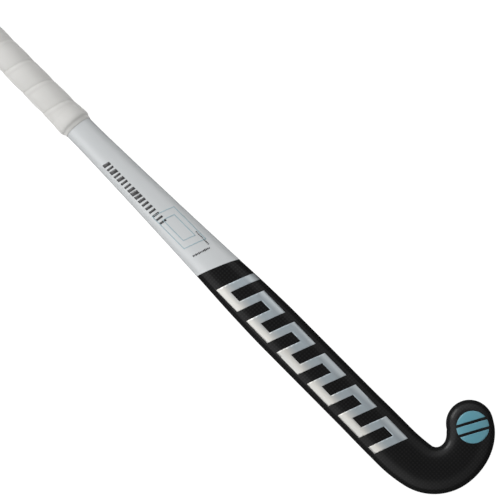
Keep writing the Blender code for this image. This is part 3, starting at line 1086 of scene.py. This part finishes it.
# Rows of marks: name, count, first place, step, size of a mark, slant.
ROWS = (
    ("tick_row", 17, (0.4705, -0.0060), (0.0050, 0.0), (0.0043, 0.0072), 0.35),
    ("dot_row_across", 12, (0.3448, -0.0084), (0.00048, 0.00150), (0.0022, 0.0012), -0.5),
    ("dot_row_along", 11, (0.3600, 0.0102), (0.0017, 0.0), (0.0013, 0.0013), 0.35),
)


def prints(finishes):
    """Lays the foil, the roundel, the line frames and the rows of marks on the shell."""
    bed = shell_target()
    laid, row = laid_print_tree(), mark_row_tree()
    flat = {
        "foil_wave": (stroke(foil_path(), FOIL_STROKE), "foil", "silver_foil", 0.0),
        "toe_roundel": (roundel(), "teal", "teal_print", 0.0),
        "line_frame_outer": (frame_outline(*FRAME_OUTER), "pale_blue", "pale_blue_print", LACQUER),
        "line_frame_inner": (frame_outline(*FRAME_INNER), "pale_blue", "pale_blue_print", LACQUER),
    }
    for name, (mesh, colour, slot, lacquer) in flat.items():
        cut_up(mesh, NET_STEP)
        facing_up(mesh)
        values = {"Bed": bed, "Lift": PRINT_LIFT + lacquer, "Colour": finishes[colour]}
        fits(grown(name, mesh, laid, values, PRINT_THICKNESS), slot)
    for name, count, first, step, (length, height), slant in ROWS:
        values = {
            "Bed": bed,
            "Lift": PRINT_LIFT + LACQUER,
            "Colour": finishes["dark"],
            "Count": count,
            "First Place": place(*first),
            "Step": Vector((*step, 0.0)),
            "Mark Length": length,
            "Mark Height": height,
            "Slant": slant,
        }
        fits(grown(name, bmesh.new(), row, values, PRINT_THICKNESS), "dark_print")
    bpy.data.objects.remove(bed)


# ---- the grip


OVERLAP = 0.0050
CROWN = 0.00085
FEATHER = 0.42
TAPE_SLANT = math.tan(math.radians(5.0))
CORE_OVERRUN = 0.10
WINDING_REACH = 0.1
SPIRAL_RADIUS = 0.01
PROFILE_STEPS = 38


def winding_core():
    """Smooth oval that the tape is wound on; it is removed again."""
    rings = []
    for at in steps_between(-CORE_OVERRUN, GRIP_END + CORE_OVERRUN, CORE_STEP):
        section = section_at(min(max(at, GRIP_START), GRIP_END))
        rings.append(ring_at(at, outline(inset(section, COVER - GRIP_BUILD))))
    return piece("winding_core", skin(rings), bpy.data.materials.new("winding_core"))


def tape_profile():
    """Closed cross-section of the tape: (height, distance from its edge), feathered at both edges."""
    width = WRAP_PITCH + OVERLAP
    top, bottom = [], []
    for step in range(PROFILE_STEPS + 1):
        across = (0.5 - 0.5 * math.cos(math.pi * step / PROFILE_STEPS)) * width
        near = min(across / OVERLAP, 1.0)
        far = min(max((across - WRAP_PITCH) / OVERLAP, 0.0), 1.0)
        thick = COVER * (FEATHER + (1 - FEATHER) * min(near, 1 - far))
        under = COVER * (1 - (1 - FEATHER) * near) if across < OVERLAP else 0.0
        under *= 1 - eased(((0.8, 0.0), (1.0, 1.0)), near)
        full = CROWN * math.sin(math.pi * min(across / WRAP_PITCH, 1.0)) ** 0.8
        bottom.append((under, across))
        top.append((under + thick + full, across))
    mesh = bmesh.new()
    verts = [mesh.verts.new((*point, 0.0)) for point in top + bottom[::-1]]
    for vert, after in zip(verts, verts[1:] + verts[:1]):
        mesh.edges.new((vert, after))
    return mesh


def captured(tree, shape, **fields):
    """Stores fields on a shape, so that they can be read after the shape has changed."""
    node = tree.nodes.new("GeometryNodeCaptureAttribute")
    tree.links.new(shape, node.inputs["Geometry"])
    for name, (kind, field) in fields.items():
        node.capture_items.new(kind, name)
        tree.links.new(field, node.inputs[name])
    return node.outputs


def wound_tape_tree():
    """A tape wound in a helix on a core, from the closed cross-section that it is given."""
    inputs = SHAPE_IN + (
        ("Core", "NodeSocketObject", None),
        ("Colour", "NodeSocketMaterial", None),
        ("Start", "NodeSocketVector", None),
        ("Axis", "NodeSocketVector", None),
        ("Turn Round", "NodeSocketVector", None),
        ("Turns", "NodeSocketFloat", 14.0),
        ("Pitch", "NodeSocketFloat", WRAP_PITCH),
        ("Steps Each Turn", "NodeSocketInt", 76),
    )
    tree, given, out = new_group("wound_tape", "GeometryNodeTree", inputs, SHAPE_OUT)
    sockets = given.outputs
    inputs = {
        "Resolution": sockets["Steps Each Turn"],
        "Rotations": sockets["Turns"],
        "Start Radius": SPIRAL_RADIUS,
        "End Radius": SPIRAL_RADIUS,
        "Height": maths(tree, "MULTIPLY", sockets["Turns"], sockets["Pitch"]),
    }
    spiral = wire(tree, "GeometryNodeCurveSpiral", inputs)
    inputs = {
        "Geometry": spiral.outputs[0],
        "Translation": sockets["Start"],
        "Rotation": sockets["Turn Round"],
    }
    turned = wire(tree, "GeometryNodeTransform", inputs)
    position = source(tree, "GeometryNodeInputPosition")
    axis, start = sockets["Axis"], sockets["Start"]
    from_start = vector_maths(tree, "SUBTRACT", position, start)
    along = vector_maths(tree, "DOT_PRODUCT", from_start, axis)
    on_axis = vector_maths(tree, "ADD", start, vector_maths(tree, "SCALE", axis, along))
    outwards = vector_maths(tree, "NORMALIZE", vector_maths(tree, "SUBTRACT", position, on_axis))
    path = captured(tree, turned.outputs[0], along=("FLOAT", along), outwards=("VECTOR", outwards))
    section = wire(tree, "GeometryNodeMeshToCurve", {"Mesh": sockets["Shape"]})
    height, across = axis_of(tree, position, "X"), axis_of(tree, position, "Y")
    profile = captured(tree, section.outputs[0], height=("FLOAT", height), across=("FLOAT", across))
    inputs = {"Curve": path["Geometry"], "Profile Curve": profile["Geometry"], "Fill Caps": True}
    strip = wire(tree, "GeometryNodeCurveToMesh", inputs)
    reach = maths(tree, "ADD", path["along"], profile["across"])
    middle = vector_maths(tree, "ADD", start, vector_maths(tree, "SCALE", axis, reach))
    away = vector_maths(tree, "SCALE", path["outwards"], WINDING_REACH)
    inwards = vector_maths(tree, "SCALE", path["outwards"], -1.0)
    far = vector_maths(tree, "ADD", middle, away)
    hit = hit_on(tree, sockets["Core"], far, inwards, 2 * WINDING_REACH)
    raised = vector_maths(tree, "SCALE", path["outwards"], profile["height"])
    target = vector_maths(tree, "ADD", hit["Hit Position"], raised)
    wound = wire(tree, "GeometryNodeSetPosition", {"Geometry": strip.outputs[0], "Position": target})
    inputs = {"Geometry": wound.outputs[0], "Name": "across_tape", "Value": profile["across"]}
    marked = wire(tree, "GeometryNodeStoreNamedAttribute", inputs, data_type="FLOAT", domain="POINT")
    end_tree(tree, marked.outputs[0], sockets["Colour"], out)
    return tree


def handle_axis():
    """Middle of the butt, and the direction from it to the grip's end."""
    start = LAID_AT
    end = LAID @ bowed(GRIP_END, 0.0, 0.0)
    return start, (end - start).normalized()


def trim_square(mesh, spot, axis):
    """Cuts a closed mesh off beyond a plane and closes the cut."""
    sliced(mesh, spot, axis, clear=True)
    rim = [edge for edge in mesh.edges if edge.is_boundary]
    ends = bmesh.ops.holes_fill(mesh, edges=rim, sides=0)
    bmesh.ops.triangulate(mesh, faces=ends["faces"], ngon_method="EAR_CLIP")


def grip_cover(grip):
    """Tape wound from the cap's skirt to the grip's end, cut square at both ends."""
    core = winding_core()
    butt, axis = handle_axis()
    begin = GRIP_START - WRAP_PITCH - OVERLAP
    values = {
        "Core": core,
        "Colour": grip,
        "Start": butt + axis * begin,
        "Axis": axis,
        "Turn Round": axis.to_track_quat("Z", "Y").to_euler(),
        "Turns": float(math.ceil((GRIP_END - begin) / WRAP_PITCH) + 1),
    }
    wound = grown("wound_tape", tape_profile(), wound_tape_tree(), values)
    bpy.data.objects.remove(core)
    mesh = bmesh.new()
    mesh.from_mesh(wound.data)
    trim_square(mesh, butt + axis * (GRIP_START + GAP), -axis)
    trim_square(mesh, butt + axis * GRIP_END, axis)
    bpy.data.objects.remove(wound)
    return piece("wound_grip_cover", mesh, grip, 35)


def grip_finishing_tape(tape):
    """Elastic tape that rounds the grip off onto the shaft, wound on a slight slant."""
    start = GRIP_END - TAPE_ON_GRIP
    end = NECK_END - 0.0020
    profile = (
        (start, GRIP_BUILD + 0.0006),
        (start + 0.0006, GRIP_BUILD + 0.0009),
        (start + 0.0040, GRIP_BUILD + 0.0011),
        (GRIP_END - 0.0005, GRIP_BUILD + 0.0014),
        (GRIP_END + 0.0022, GRIP_BUILD + 0.0010),
        (GRIP_END + 0.0046, GRIP_BUILD * 0.72),
        (GRIP_END + 0.0064, GAP + 2 * TAPE),
        (end - 0.0003, GAP + TAPE),
        (end, GAP + 0.3 * TAPE),
    )
    lifts = [(at, eased(profile, at)) for at in steps_between(start, end, TAPE_STEP)]
    lifts += [(end, GAP * 0.5), (GRIP_END, GAP * 0.5)]
    lifts += [(GRIP_END - GAP, GRIP_BUILD), (start, GRIP_BUILD)]
    rings = []
    for nominal, lift in lifts:
        rings.append(shifted_ring(lambda across: nominal + across * TAPE_SLANT, -lift))
    return piece("grip_end_tape", skin(rings, loop=True), tape, 50)


# ---- the butt end


CAP_GROOVE = 0.0004
CAP_SOFTENING = 0.0002
END_GROOVES = (0.72, 0.80)
SKIRT_GROOVES = (0.0062, 0.0086)
RIM_STEPS = 8


def cap_ring(at, share=1.0, depth=-GRIP_BUILD):
    """Oval round the butt's middle line: a share of the section that the cap has there."""
    section = scaled(inset(section_at(max(at, 0.0)), depth), share)
    return ring_at(at, outline(section))


def butt_cap(rubber):
    """Cap with a rounded rim, a ringed end and a shallow recess for its badge."""
    half = HANDLE_WIDTH / 2 + GRIP_BUILD
    ends = [(BADGE_RECESS, 0.02), (BADGE_RECESS, BADGE_SHARE - 0.005)]
    ends += [(BADGE_RECESS, BADGE_SHARE), (CAP_SOFTENING, BADGE_SHARE), (0.0, BADGE_SHARE + 0.012)]
    for share in END_GROOVES:
        ends += [(0.0, share - 0.02), (CAP_GROOVE, share - 0.008)]
        ends += [(CAP_GROOVE, share + 0.008), (0.0, share + 0.02)]
    rings = [cap_ring(*ring) for ring in ends]
    for step in range(RIM_STEPS + 1):
        angle = math.pi / 2 * step / RIM_STEPS
        inward = CAP_EDGE * (1 - math.sin(angle))
        rings.append(cap_ring(CAP_EDGE * (1 - math.cos(angle)), 1 - inward / half))
    sunken = CAP_GROOVE - GRIP_BUILD
    for at in SKIRT_GROOVES:
        rings += [cap_ring(at - 0.0005), cap_ring(at, depth=sunken), cap_ring(at + 0.0005)]
    skirt_end = CAP_FACE + CAP_SKIRT
    rings += [cap_ring(skirt_end - 0.0004), cap_ring(skirt_end, depth=sunken)]
    rings += [cap_ring(skirt_end, depth=-GAP), cap_ring(CAP_FACE, depth=-GAP)]
    return piece("butt_cap_ringed", skin(rings), rubber, 45)


def cap_badge(metal):
    """Blank oval insert with a softened rim and one turned groove."""
    full = BADGE_SHARE - GAP / (HANDLE_WIDTH / 2)
    back = BADGE_RECESS - GAP
    front = back - BADGE_THICKNESS
    sizes = ((back, 1.0), (front + 0.00015, 1.0))
    rings = [cap_ring(at, full * share) for at, share in sizes]
    rings.append(cap_ring(front, full - 0.012))
    for at, share in ((front, 0.80), (front + 0.00012, 0.78), (front, 0.76)):
        rings.append(cap_ring(at, full * share))
    rings.append(cap_ring(front, 0.02))
    return piece("cap_badge_blank", skin(rings), metal, 30)


# ---- studio


CAMERA_LEAN = math.radians(7.4)
CAMERA_ROLL = math.radians(45.17)
CAMERA_DISTANCE = 3.0
CAMERA_LENS = 0.2199
AIM_FROM_BASE = 0.3116
AIM_ACROSS = 0.0350
AIM_HEIGHT = 0.030


def camera():
    """Long lens high above the stick."""
    along = Vector((math.cos(CAMERA_LEAN), 0.0, -math.sin(CAMERA_LEAN)))
    back = Vector((math.sin(CAMERA_LEAN), 0.0, math.cos(CAMERA_LEAN)))
    over = Vector((0.0, 1.0, 0.0))
    right = along * math.cos(CAMERA_ROLL) + over * math.sin(CAMERA_ROLL)
    up = over * math.cos(CAMERA_ROLL) - along * math.sin(CAMERA_ROLL)
    data = bpy.data.cameras.new("camera")
    data.lens = CAMERA_LENS * 1000
    data.sensor_width = 36.0
    data.clip_end = 50.0
    made = bpy.data.objects.new("camera", data)
    aim = Vector((BASE_X - AIM_FROM_BASE, AXIS_Y + AIM_ACROSS, AIM_HEIGHT))
    turned = Matrix((right, up, back)).transposed().to_4x4()
    made.matrix_world = Matrix.Translation(aim + back * CAMERA_DISTANCE) @ turned
    bpy.context.scene.collection.objects.link(made)
    bpy.context.scene.camera = made


FLOOR_REACH = 30.0


def floor():
    """A wide floor, plain white to look at and pale for the light that falls on it."""
    mesh = bmesh.new()
    bmesh.ops.create_grid(mesh, x_segments=1, y_segments=1, size=FLOOR_REACH)
    pale, tree, shader = finish(
        "pale_floor", roughness=0.9, specular_ior_level=0.1, emission_color=(1.0, 1.0, 1.0, 1.0)
    )
    seen = source(tree, "ShaderNodeLightPath", "Is Camera Ray")
    lit = blended(tree, seen, (0.93, 0.93, 0.93), (0.20, 0.20, 0.20))
    glow = maths(tree, "MULTIPLY", seen, 0.96)
    feed(tree, shader, {"Base Color": lit, "Emission Strength": glow})
    made = object_of("floor", mesh)
    made.data.materials.append(pale)
    made.visible_glossy = False


KEY_SIDE = Vector((-0.85, -0.50, 0.0)).normalized()
RING_LEVELS = ((0.0, 0.02), (0.16, 0.03), (0.34, 0.99), (0.74, 0.99), (0.90, 0.07), (1.0, 0.03))


def studio():
    """A ring of soft light, stronger towards the handle and the heel side, with a dark ceiling."""
    world = bpy.data.worlds.new("tent")
    world.use_nodes = True
    bpy.context.scene.world = world
    tree = world.node_tree
    ray = source(tree, "ShaderNodeTexCoord", "Generated")
    stops = [(rise, (level, level, level)) for rise, level in RING_LEVELS]
    ring = ramped(tree, axis_of(tree, ray, "Z"), stops, "EASE")
    inputs = {
        "Value": vector_maths(tree, "DOT_PRODUCT", ray, KEY_SIDE),
        "From Min": -0.9,
        "From Max": 0.9,
        "To Min": 0.5,
        "To Max": 1.9,
    }
    lean = wire(tree, "ShaderNodeMapRange", inputs, interpolation_type="SMOOTHSTEP").outputs[0]
    seen = source(tree, "ShaderNodeLightPath", "Is Camera Ray")
    shown = maths(tree, "MAXIMUM", maths(tree, "MULTIPLY", ring, lean), seen)
    feed(tree, tree.nodes["Background"], {"Color": (1.0, 1.0, 1.0, 1.0), "Strength": shown})
    bpy.context.scene.view_settings.view_transform = "Standard"


LAMP_SIDE = Vector((-0.86, -0.18, 0.48)).normalized()
LAMP_DISTANCE = 2.0
LAMP_AIM = Vector((BASE_X - 0.10, AXIS_Y, 0.0))


def lamp(name, length, height, energy, lights, shines):
    """Softbox beyond the handle, turned to the head: it lights surfaces or shines in them."""
    data = bpy.data.lights.new(name, "AREA")
    data.shape = "RECTANGLE"
    data.size = length
    data.size_y = height
    data.energy = energy
    made = bpy.data.objects.new(name, data)
    turned = LAMP_SIDE.to_track_quat("Z", "Y").to_matrix().to_4x4()
    made.matrix_world = Matrix.Translation(LAMP_AIM + LAMP_SIDE * LAMP_DISTANCE) @ turned
    made.visible_diffuse = lights
    made.visible_glossy = shines
    bpy.context.scene.collection.objects.link(made)


def lamps():
    lamp("key_softbox", length=0.30, height=0.08, energy=3.6, lights=True, shines=False)
    lamp("streak_softbox", length=1.10, height=0.60, energy=14.0, lights=False, shines=True)


# ---- putting it together

CARRIED_OVER = {
    "aramid_head_sleeve": "aramid",
    "head_foam_core": "foam",
    "heel_chamber_tube": "glass",
    "toe_chamber_tube": "glass",
    "heel_chamber_foam": "foam",
    "toe_chamber_foam": "foam",
    "butt_plug": "plug",
    "grip_adhesive": "adhesive",
    "grip_backing": "felt",
}


def dress_frame(finishes):
    for name, colour in CARRIED_OVER.items():
        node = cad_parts[name]
        node.data.materials.clear()
        node.data.materials.append(finishes[colour])


def build():
    camera()
    studio()
    lamps()
    floor()
    finishes = make_finishes()
    dress_frame(finishes)
    fits(carbon_shell(finishes["carbon"]), "carbon_laminate", "carbon_shell")
    fits(white_lacquer(finishes["white"]), "white_lacquer")
    prints(finishes)
    fits(grip_cover(finishes["grip"]), "grip_polyurethane", "grip_cover")
    fits(grip_finishing_tape(finishes["tape"]), "finishing_tape", "grip_finishing_tape")
    fits(butt_cap(finishes["cap"]), "cap_rubber", "butt_cap")
    fits(cap_badge(finishes["badge"]), "badge_aluminium", "cap_badge")


build()
